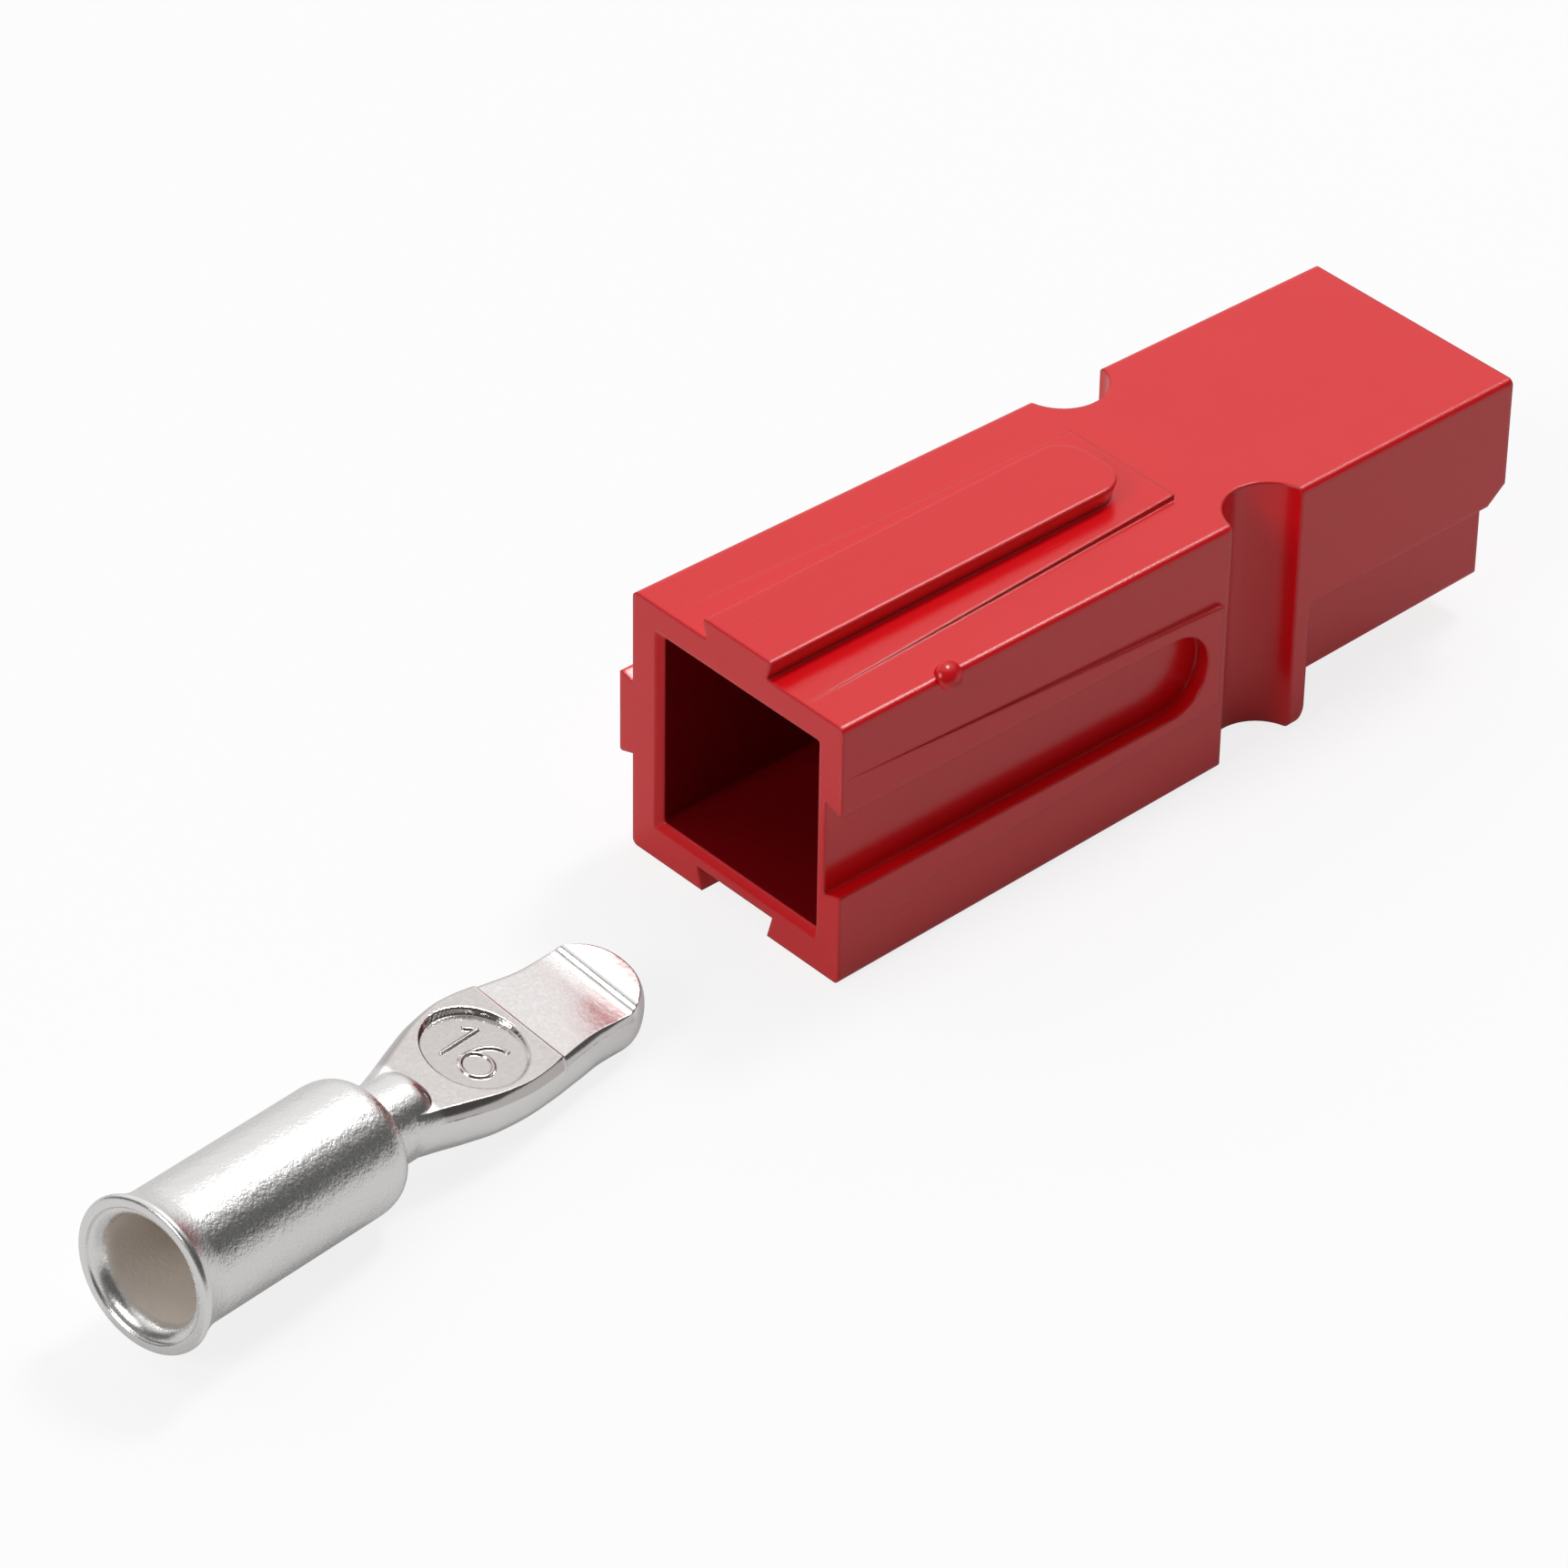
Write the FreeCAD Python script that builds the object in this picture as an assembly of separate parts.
import FreeCAD, Part
import math
import os

V = FreeCAD.Vector

# Genderless single-pole power connector: a moulded housing, the leaf spring on its shelf
# and the crimp contact that lies beside it, as supplied.
# Millimetres. X runs from the wire end to the mating end, Y to the left, Z up.
# The origin is on the base plane, at the middle of the wire end.

# Outer block
block_width = 15.8
block_height = 15.96
block_length = 48.13
side_draft_deg = 0.586
top_draft_deg = 0.629
edge_radius = 0.35

# Straight pads around the dovetails
pad_length = 26.6
top_pad_half_rear = 5.1
top_pad_half_front = 3.9
side_pad_half_rear = 4.75
side_pad_half_front = 3.1
pad_depth = 1.0

# Dovetail tongues on the top and left faces
tongue_top_width = 5.15
tongue_root_width = 4.5
tongue_length = 24.9
tongue_end_radius = 1.9
top_tongue_height = 1.15
side_tongue_height = 1.0
tongue_edge_radius = 0.15

# Dovetail grooves in the right and bottom faces take those tongues
groove_side_gap = 0.25
groove_floor_gap = 0.2
groove_end_gap = 0.7
groove_end_radius = 2.45

# Half-round notches for the retention pin, shared with the next housing
pin_notch_radius = 2.6
pin_notch_x = 29.75

# Mating end: hood above, shelf below
shoulder_x = 33.4
shoulder_radius = 1.0
hood_side_wall = 1.35
hood_top_wall = 1.45
hood_corner_radius = 0.5
hood_chamfer_length = 1.25
hood_chamfer_height = 0.96
hood_edge_gap = 0.1
shelf_gap = 0.15
shelf_edge_radius = 0.35
shelf_root_x = 31.4
shelf_end_gap = 0.15
shelf_floor = 1.2
shelf_lip_thickness = 1.3
shelf_lip_height = 3.3

# Wire end
cavity_wall = 2.05
cavity_floor = 2.3
throat_length = 2.6
cavity_corner_radius = 0.2
cavity_draft_deg = 0.35
mouth_bevel = 0.36

# Contact: turned part
barrel_radius = 3.7
barrel_length = 14.0
bore_radius = 2.85
bore_depth = 12.5
bell_radius = 4.25
bell_length = 2.2
bell_bevel = 0.2
bell_flare_share = 0.6
funnel_radius = 3.65
bell_mouth_length = 1.3
funnel_bend = 0.3
shoulder_round = 1.6
neck_radius = 2.3
neck_length = 18.1
neck_dome = 1.6

# Contact: flattened part
contact_length = 35.1
blade_start = 17.4
boss_half_width = 3.68
boss_rear_half_width = 2.0
boss_corner_radius = 1.6
boss_widest = 24.4
waist = 29.6
waist_half_width = 3.05
waist_radius = 3.0
nose_shoulder = 31.6
nose_shoulder_radius = 1.5
nose_half_width = 3.3
nose_corner_radius = 3.2
tongue_underside = 1.55
underside_radius = 1.45
top_side_radius = 1.0
boss_level = 1.65
recess_level = 1.15
recess_start = 26.7
recess_step = 0.5
nose_ramp_start = 30.9
nose_ramp_end = 32.3
nose_ramp_level = 1.45
nose_crest_start = 32.7
nose_crest_end = 33.1
nose_level = 1.9
nose_tip_drop = 0.6

# Sunk round field on the boss, pressed a little out of level
field_radius = 2.79
field_centre = 23.58
field_depth = 0.3
field_side_tilt_deg = 3.0
field_end_tilt_deg = -1.5

# Place of the loose contact: mouth centre on the ground, heading, and how far it is rolled
contact_x = -43.93
contact_y = -7.5
contact_heading_deg = 9.4
contact_roll_deg = 13.6
steepest_lying_pitch = 0.3

# Where the contact sits once it is pushed home
contact_bore_gap = 0.45
tongue_side_gap = 0.25
tongue_top_gap = 0.3
contact_tip_gap = 0.4

# Leaf spring on the shelf
spring_thickness = 0.45
spring_width = 6.0
spring_foot = 1.6
spring_rise = 1.55
spring_bend_radius = 3.0
spring_gap = 0.1

# Working allowances: how far a cut runs past the surface it opens, how deep a raised form is
# rooted, how far the flat channel starts inside the round throat, and how near counts as equal
cut_past = 1.0
root_depth = 0.5
channel_lead = 0.5
nearly = 0.01

# Derived levels and stations
mid_z = block_height / 2
half_width = block_width / 2
side_slope = math.tan(math.radians(side_draft_deg))
top_slope = math.tan(math.radians(top_draft_deg))
tip_half_width = half_width - block_length * side_slope
tip_top = block_height - block_length * top_slope
hood_inner_half = tip_half_width - hood_side_wall
hood_inner_top = tip_top - hood_top_wall
hood_edge_z = mid_z - hood_edge_gap
shelf_half = hood_inner_half - shelf_gap
shelf_bottom = block_height - hood_inner_top + shelf_gap
shelf_top = mid_z - hood_edge_gap
shelf_end = block_length - shelf_end_gap
shelf_level = shelf_bottom + shelf_floor
axis_z = mid_z - (recess_level + nose_level) / 2
channel_half = boss_half_width + tongue_side_gap
lip_inner_x = shelf_end - shelf_lip_thickness
throat_end = lip_inner_x - contact_tip_gap - contact_length + barrel_length + shoulder_round
cavity_depth = throat_end - throat_length
channel_top = axis_z + max(boss_level, nose_level) + tongue_top_gap


def tapered_bar(x0, x1, rear, front, radius):
    """Four-sided bar along X from one rectangle to another, its long edges rounded."""
    ends = []
    for x, (y0, y1, z0, z1) in ((x0, rear), (x1, front)):
        ends.append([V(x, y0, z0), V(x, y1, z0), V(x, y1, z1), V(x, y0, z1)])
    outlines = [ends[0][::-1], ends[1]]
    for i in range(4):
        j = (i + 1) % 4
        outlines.append([ends[0][i], ends[0][j], ends[1][j], ends[1][i]])
    faces = [Part.Face(Part.makePolygon(points + points[:1])) for points in outlines]
    bar = Part.Solid(Part.Shell(faces))
    return bar.makeFillet(radius, edges_where(bar, lambda b: b.XLength > abs(x1 - x0) - nearly))


def box(x0, x1, y0, y1, z0, z1):
    return Part.makeBox(x1 - x0, y1 - y0, z1 - z0, V(x0, y0, z0))


def prism(points, direction):
    """Solid of a flat outline pushed along a direction."""
    return Part.Face(Part.makePolygon(points + points[:1])).extrude(direction)


def loft(wires):
    return Part.makeLoft(wires, True, True)


def edges_where(shape, test):
    return [edge for edge in shape.Edges if test(edge.BoundBox)]


def dovetail_outline(x, end, half, radius, z):
    """Plan of a dovetail at one level: square at x, rounded corners at the front end."""
    round_x = end - radius
    flat = half - radius
    slant = radius * math.sqrt(0.5)
    edges = [
        Part.makeLine(V(x, -half, z), V(round_x, -half, z)),
        Part.Arc(V(round_x, -half, z), V(round_x + slant, -flat - slant, z),
                 V(end, -flat, z)).toShape(),
        Part.makeLine(V(end, -flat, z), V(end, flat, z)),
        Part.Arc(V(end, flat, z), V(round_x + slant, flat + slant, z),
                 V(round_x, half, z)).toShape(),
        Part.makeLine(V(round_x, half, z), V(x, half, z)),
        Part.makeLine(V(x, half, z), V(x, -half, z))]
    return Part.Wire(edges)


# Each dovetail is drawn once, on the top of a flat base at z = 0, rear end at x = 0.
def dovetail_tongue(height):
    half = tongue_top_width / 2
    flare = (tongue_top_width - tongue_root_width) / 2
    low = flare * (height + root_depth) / height
    foot = dovetail_outline(0, tongue_length - low, half - low, tongue_end_radius - low, -root_depth)
    top = dovetail_outline(0, tongue_length, half, tongue_end_radius, height)
    bar = loft([foot, top])
    rim = edges_where(bar, lambda b: b.ZMin > height - nearly and b.XMax > nearly)
    return bar.makeFillet(tongue_edge_radius, rim)


def dovetail_groove(height):
    depth = height + groove_floor_gap
    flare = (tongue_top_width - tongue_root_width) / 2 / height
    half_mouth = tongue_root_width / 2 + groove_side_gap
    end = tongue_length + groove_end_gap
    plans = []
    for level in (-depth, cut_past):
        grow = -flare * level
        corner = groove_end_radius + grow
        plans.append(dovetail_outline(-cut_past, end + grow, half_mouth + grow, corner, level))
    return loft(plans)


def on_face(shape, face):
    """Set a feature drawn on z = 0 on one of the four long faces."""
    turned = shape.copy()
    turn, place = {
        "top": (0, V(0, 0, block_height)),
        "left": (-90, V(0, half_width, mid_z)),
        "bottom": (180, V(0, 0, 0)),
        "right": (90, V(0, -half_width, mid_z)),
    }[face]
    turned.rotate(V(0, 0, 0), V(1, 0, 0), turn)
    turned.translate(place)
    return turned


def pad(half_rear, half_front):
    outline = [V(0, -half_rear, -pad_depth), V(pad_length, -half_front, -pad_depth),
               V(pad_length, half_front, -pad_depth), V(0, half_rear, -pad_depth)]
    return prism(outline, V(0, 0, pad_depth))


def make_block():
    shrink_y = block_length * side_slope
    shrink_z = block_length * top_slope
    rear = (-half_width, half_width, 0, block_height)
    front = (-half_width + shrink_y, half_width - shrink_y, shrink_z, block_height - shrink_z)
    block = tapered_bar(0, block_length, rear, front, edge_radius)
    for face in ("top", "bottom"):
        block = block.fuse(on_face(pad(top_pad_half_rear, top_pad_half_front), face))
    for face in ("left", "right"):
        block = block.fuse(on_face(pad(side_pad_half_rear, side_pad_half_front), face))
    return block


def make_shelf():
    """Tray that carries the spring and the tongue, and fits inside the mate's hood."""
    run = shelf_end - shelf_root_x
    half_root = shelf_half + run * side_slope
    above = shelf_top + block_height
    root = (-half_root, half_root, shelf_bottom - run * top_slope, above)
    end = (-shelf_half, shelf_half, shelf_bottom, above)
    bar = tapered_bar(shelf_root_x, shelf_end, root, end, shelf_edge_radius)
    return bar.cut(box(0, 2 * block_length, -block_width, block_width, shelf_top, 3 * block_height))


def make_housing():
    body = make_block()
    front_past = block_length + cut_past
    lower_front = box(shoulder_x, front_past, -block_width, block_width, -cut_past, hood_edge_z)
    body = body.cut(lower_front)
    # Rounded lower edge of the shoulder
    run_out_x = shoulder_x - shoulder_radius
    run_out_z = run_out_x * top_slope
    rise_z = shoulder_x * top_slope + shoulder_radius
    inset = shoulder_radius * (1 - math.sqrt(0.5))
    corner = Part.Wire([
        Part.Arc(V(run_out_x, -block_width, run_out_z),
                 V(shoulder_x - inset, -block_width, rise_z - shoulder_radius + inset),
                 V(shoulder_x, -block_width, rise_z)).toShape(),
        Part.makeLine(V(shoulder_x, -block_width, rise_z), V(shoulder_x, -block_width, -cut_past)),
        Part.makeLine(V(shoulder_x, -block_width, -cut_past), V(run_out_x, -block_width, -cut_past)),
        Part.makeLine(V(run_out_x, -block_width, -cut_past), V(run_out_x, -block_width, run_out_z))])
    body = body.cut(Part.Face(corner).extrude(V(0, 2 * block_width, 0)))
    body = body.fuse(make_shelf())

    # Hood cavity, open to the front and downwards, and the chamfer on its side walls
    mouth = (-hood_inner_half, hood_inner_half, 0, hood_inner_top)
    cavity = tapered_bar(shoulder_x, 2 * block_length, mouth, mouth, hood_corner_radius)
    below = box(0, 3 * block_length, -block_width, block_width, -cut_past, shelf_top)
    body = body.cut(cavity.cut(below))
    chamfer_start = block_length - hood_chamfer_length
    chamfer_rise = hood_chamfer_height * (front_past - chamfer_start) / hood_chamfer_length
    chamfer = [V(chamfer_start, -block_width, hood_edge_z), V(front_past, -block_width, hood_edge_z),
               V(front_past, -block_width, hood_edge_z + chamfer_rise)]
    body = body.cut(prism(chamfer, V(0, 2 * block_width, 0)))

    # Wire cavity with its bevelled mouth
    half = half_width - cavity_wall
    shrink = cavity_depth * math.tan(math.radians(cavity_draft_deg))
    for depth, grow_rear, grow_front in ((cavity_depth, 0, -shrink), (mouth_bevel, mouth_bevel, 0)):
        rear, front = [(-half - grow, half + grow, cavity_floor - grow, cavity_floor + 2 * half + grow)
                       for grow in (grow_rear, grow_front)]
        body = body.cut(tapered_bar(0, depth, rear, front, cavity_corner_radius))

    # Round throat for the barrel, then the flat channel for the tongue
    throat_radius = barrel_radius + contact_bore_gap
    body = body.cut(Part.makeCylinder(throat_radius, throat_length + cut_past,
                                      V(cavity_depth - cut_past, 0, axis_z), V(1, 0, 0)))
    body = body.cut(box(throat_end - channel_lead, lip_inner_x, -channel_half, channel_half,
                        shelf_level, channel_top))
    body = body.cut(box(lip_inner_x - cut_past, front_past, -channel_half, channel_half,
                        shelf_bottom + shelf_lip_height, channel_top))

    # Slots that hold the two feet of the spring
    slot_half = spring_width / 2 + spring_gap
    slot_top = shelf_level + spring_thickness + spring_gap
    body = body.cut(box(lip_inner_x - cut_past, lip_inner_x + shelf_lip_thickness / 2, -slot_half,
                        slot_half, shelf_level, slot_top))

    for side in (-1, 1):
        notch = Part.makeCylinder(pin_notch_radius, block_height + 2 * cut_past,
                                  V(pin_notch_x, side * half_width, -cut_past))
        body = body.cut(notch)
    body = body.fuse(on_face(dovetail_tongue(top_tongue_height), "top"))
    body = body.fuse(on_face(dovetail_tongue(side_tongue_height), "left"))
    body = body.cut(on_face(dovetail_groove(top_tongue_height), "bottom"))
    body = body.cut(on_face(dovetail_groove(side_tongue_height), "right"))
    return body.removeSplitter()


def make_spring():
    """Bowed leaf: two flat feet joined to the bow by reversed bends."""
    foot_end = lip_inner_x + shelf_lip_thickness / 2 - spring_gap
    front_x = foot_end - spring_foot
    rear_x = shoulder_x
    half_span = (front_x - rear_x) / 2
    lean = 2 * math.atan(spring_rise / half_span)
    z = shelf_level
    crest_x = rear_x + half_span
    bend_x = spring_bend_radius * math.sin(lean)
    bend_z = spring_bend_radius * (1 - math.cos(lean))
    half_bend_x = spring_bend_radius * math.sin(lean / 2)
    half_bend_z = spring_bend_radius * (1 - math.cos(lean / 2))
    path = Part.Wire([
        Part.makeLine(V(rear_x - spring_foot, 0, z), V(rear_x, 0, z)),
        Part.Arc(V(rear_x, 0, z), V(rear_x + half_bend_x, 0, z + half_bend_z),
                 V(rear_x + bend_x, 0, z + bend_z)).toShape(),
        Part.Arc(V(rear_x + bend_x, 0, z + bend_z), V(crest_x, 0, z + spring_rise),
                 V(front_x - bend_x, 0, z + bend_z)).toShape(),
        Part.Arc(V(front_x - bend_x, 0, z + bend_z),
                 V(front_x - half_bend_x, 0, z + half_bend_z), V(front_x, 0, z)).toShape(),
        Part.makeLine(V(front_x, 0, z), V(foot_end, 0, z))])
    leaf = path.makeOffset2D(spring_thickness, 0, True, True, False)
    if leaf.BoundBox.ZMin < z - spring_thickness / 2:
        leaf = path.makeOffset2D(-spring_thickness, 0, True, True, False)
    strip = leaf.extrude(V(0, spring_width, 0))
    strip.translate(V(0, -spring_width / 2, 0))
    return strip


def curve(*points):
    """Smooth curve from the first point to the last, drawn towards those between."""
    bend = Part.BezierCurve()
    bend.setPoles([V(x, 0, z) for x, z in points])
    return bend.toShape()


def make_barrel():
    """Turned part of the contact: bell mouth, barrel, shoulder, neck and its domed end."""
    ring_edge = bell_radius - bell_bevel
    shoulder_end = barrel_length + shoulder_round
    dome_end = neck_length + neck_dome
    profile = Part.Wire([
        Part.makeLine(V(bore_depth, 0, 0), V(bore_depth, 0, bore_radius)),
        Part.makeLine(V(bore_depth, 0, bore_radius), V(bell_mouth_length, 0, bore_radius)),
        curve((bell_mouth_length, bore_radius), (funnel_bend, bore_radius), (0, funnel_radius)),
        Part.makeLine(V(0, 0, funnel_radius), V(0, 0, ring_edge)),
        Part.makeLine(V(0, 0, ring_edge), V(bell_bevel, 0, bell_radius)),
        curve((bell_bevel, bell_radius), (bell_flare_share * bell_length, barrel_radius),
              (bell_length, barrel_radius)),
        Part.makeLine(V(bell_length, 0, barrel_radius), V(barrel_length, 0, barrel_radius)),
        curve((barrel_length, barrel_radius), (shoulder_end, barrel_radius), (shoulder_end, neck_radius)),
        Part.makeLine(V(shoulder_end, 0, neck_radius), V(neck_length, 0, neck_radius)),
        curve((neck_length, neck_radius), (dome_end, neck_radius), (dome_end, 0)),
        Part.makeLine(V(dome_end, 0, 0), V(bore_depth, 0, 0))])
    return Part.Face(profile).revolve(V(0, 0, 0), V(1, 0, 0), 360)


def make_blade():
    """Flattened part of the contact: boss, wiping recess and rounded nose."""
    edges = [Part.makeLine(V(blade_start, -boss_rear_half_width, 0),
                           V(blade_start, boss_rear_half_width, 0)),
             Part.makeLine(V(contact_length, -nose_half_width, 0),
                           V(contact_length, nose_half_width, 0))]
    for side in (-1, 1):
        rear = V(blade_start, side * boss_rear_half_width, 0)
        widest = V(boss_widest, side * boss_half_width, 0)
        narrow = V(waist, side * waist_half_width, 0)
        shoulder = V(nose_shoulder, side * nose_half_width, 0)
        tip = V(contact_length, side * nose_half_width, 0)
        edges += [Part.Arc(rear, widest, narrow).toShape(), Part.makeLine(narrow, shoulder),
                  Part.makeLine(shoulder, tip)]
    plan = Part.Wire(Part.__sortEdges__(edges))
    blade = Part.Face(plan).extrude(V(0, 0, nose_level + tongue_underside))
    blade.translate(V(0, 0, -tongue_underside))
    corners = ((blade_start, boss_corner_radius), (waist, waist_radius),
               (nose_shoulder, nose_shoulder_radius), (contact_length, nose_corner_radius))
    for x, radius in corners:
        upright = edges_where(blade, lambda b: abs(b.XMin - x) < nearly and b.XLength < nearly
                              and b.YLength < nearly)
        blade = blade.makeFillet(radius, upright)
    low = edges_where(blade, lambda b: b.ZMax < -tongue_underside + nearly)
    blade = blade.makeFillet(underside_radius, low)
    high = edges_where(blade, lambda b: b.ZMin > nose_level - nearly)
    blade = blade.makeFillet(top_side_radius, high)

    # Side view of the top: boss, step down, recess, soft ramp, steep rise, crest, slope to the tip
    rear_past = blade_start - cut_past
    tip_past = contact_length + cut_past
    heights = [(rear_past, boss_level), (recess_start, boss_level),
               (recess_start + recess_step, recess_level), (nose_ramp_start, recess_level),
               (nose_ramp_end, nose_ramp_level), (nose_crest_start, nose_level),
               (nose_crest_end, nose_level),
               (tip_past, nose_level - nose_tip_drop)]
    skyline = [V(x, -block_width, z) for x, z in heights]
    sky = [V(tip_past, -block_width, block_height), V(rear_past, -block_width, block_height)]
    return blade.cut(prism(skyline + sky, V(0, 2 * block_width, 0)))


def lying_pitch():
    """Pitch at which the barrel's shoulder and the nose's lower corner reach equally low."""
    roll = math.radians(contact_roll_deg)
    corner = nose_corner_radius - underside_radius
    corner_x = contact_length - underside_radius - corner
    corner_y = nose_half_width - underside_radius - corner
    low, high = 0, steepest_lying_pitch
    while high - low > nearly * 1e-6:
        pitch = (low + high) / 2
        lean = math.cos(pitch) * math.sin(roll)
        nose = (math.sin(pitch) * corner_x + lean * corner_y + corner * math.hypot(math.sin(pitch), lean)
                + (tongue_underside - underside_radius) * math.cos(pitch) * math.cos(roll)
                + underside_radius)
        if nose > barrel_drop(pitch):
            high = pitch
        else:
            low = pitch
    return high


def barrel_drop(pitch):
    """How far the pitched barrel reaches below the middle of its mouth, just past its front end."""
    slip = shoulder_round * math.sin(pitch)
    fall = (barrel_radius - neck_radius) * math.cos(pitch) + slip
    return barrel_radius * math.cos(pitch) + barrel_length * math.sin(pitch) + slip ** 2 / fall


def make_contact():
    contact = make_blade().fuse(make_barrel())
    field = Part.makeCylinder(field_radius, boss_half_width)
    field.rotate(V(0, 0, 0), V(1, 0, 0), field_side_tilt_deg)
    field.rotate(V(0, 0, 0), V(0, 1, 0), field_end_tilt_deg)
    field.translate(V(field_centre, 0, boss_level - field_depth))
    contact = contact.cut(field).removeSplitter()

    # It lies on the shoulder of its barrel and on the lower corner of its rolled nose
    pitch = lying_pitch()
    contact.rotate(V(0, 0, 0), V(1, 0, 0), contact_roll_deg)
    contact.rotate(V(0, 0, 0), V(0, 1, 0), math.degrees(pitch))
    contact.rotate(V(0, 0, 0), V(0, 0, 1), contact_heading_deg)
    contact.translate(V(contact_x, contact_y, barrel_drop(pitch)))
    return contact


os.makedirs("parts", exist_ok=True)
pieces = {
    "housing": make_housing(),
    "contact": make_contact(),
    "contact_spring": make_spring(),
}
for name, shape in pieces.items():
    solid = shape.Solids[0] if len(shape.Solids) == 1 else shape
    print(name, "solids", len(shape.Solids), "valid", shape.isValid(), "volume", round(shape.Volume, 1))
    solid.exportStep("parts/" + name + ".step")
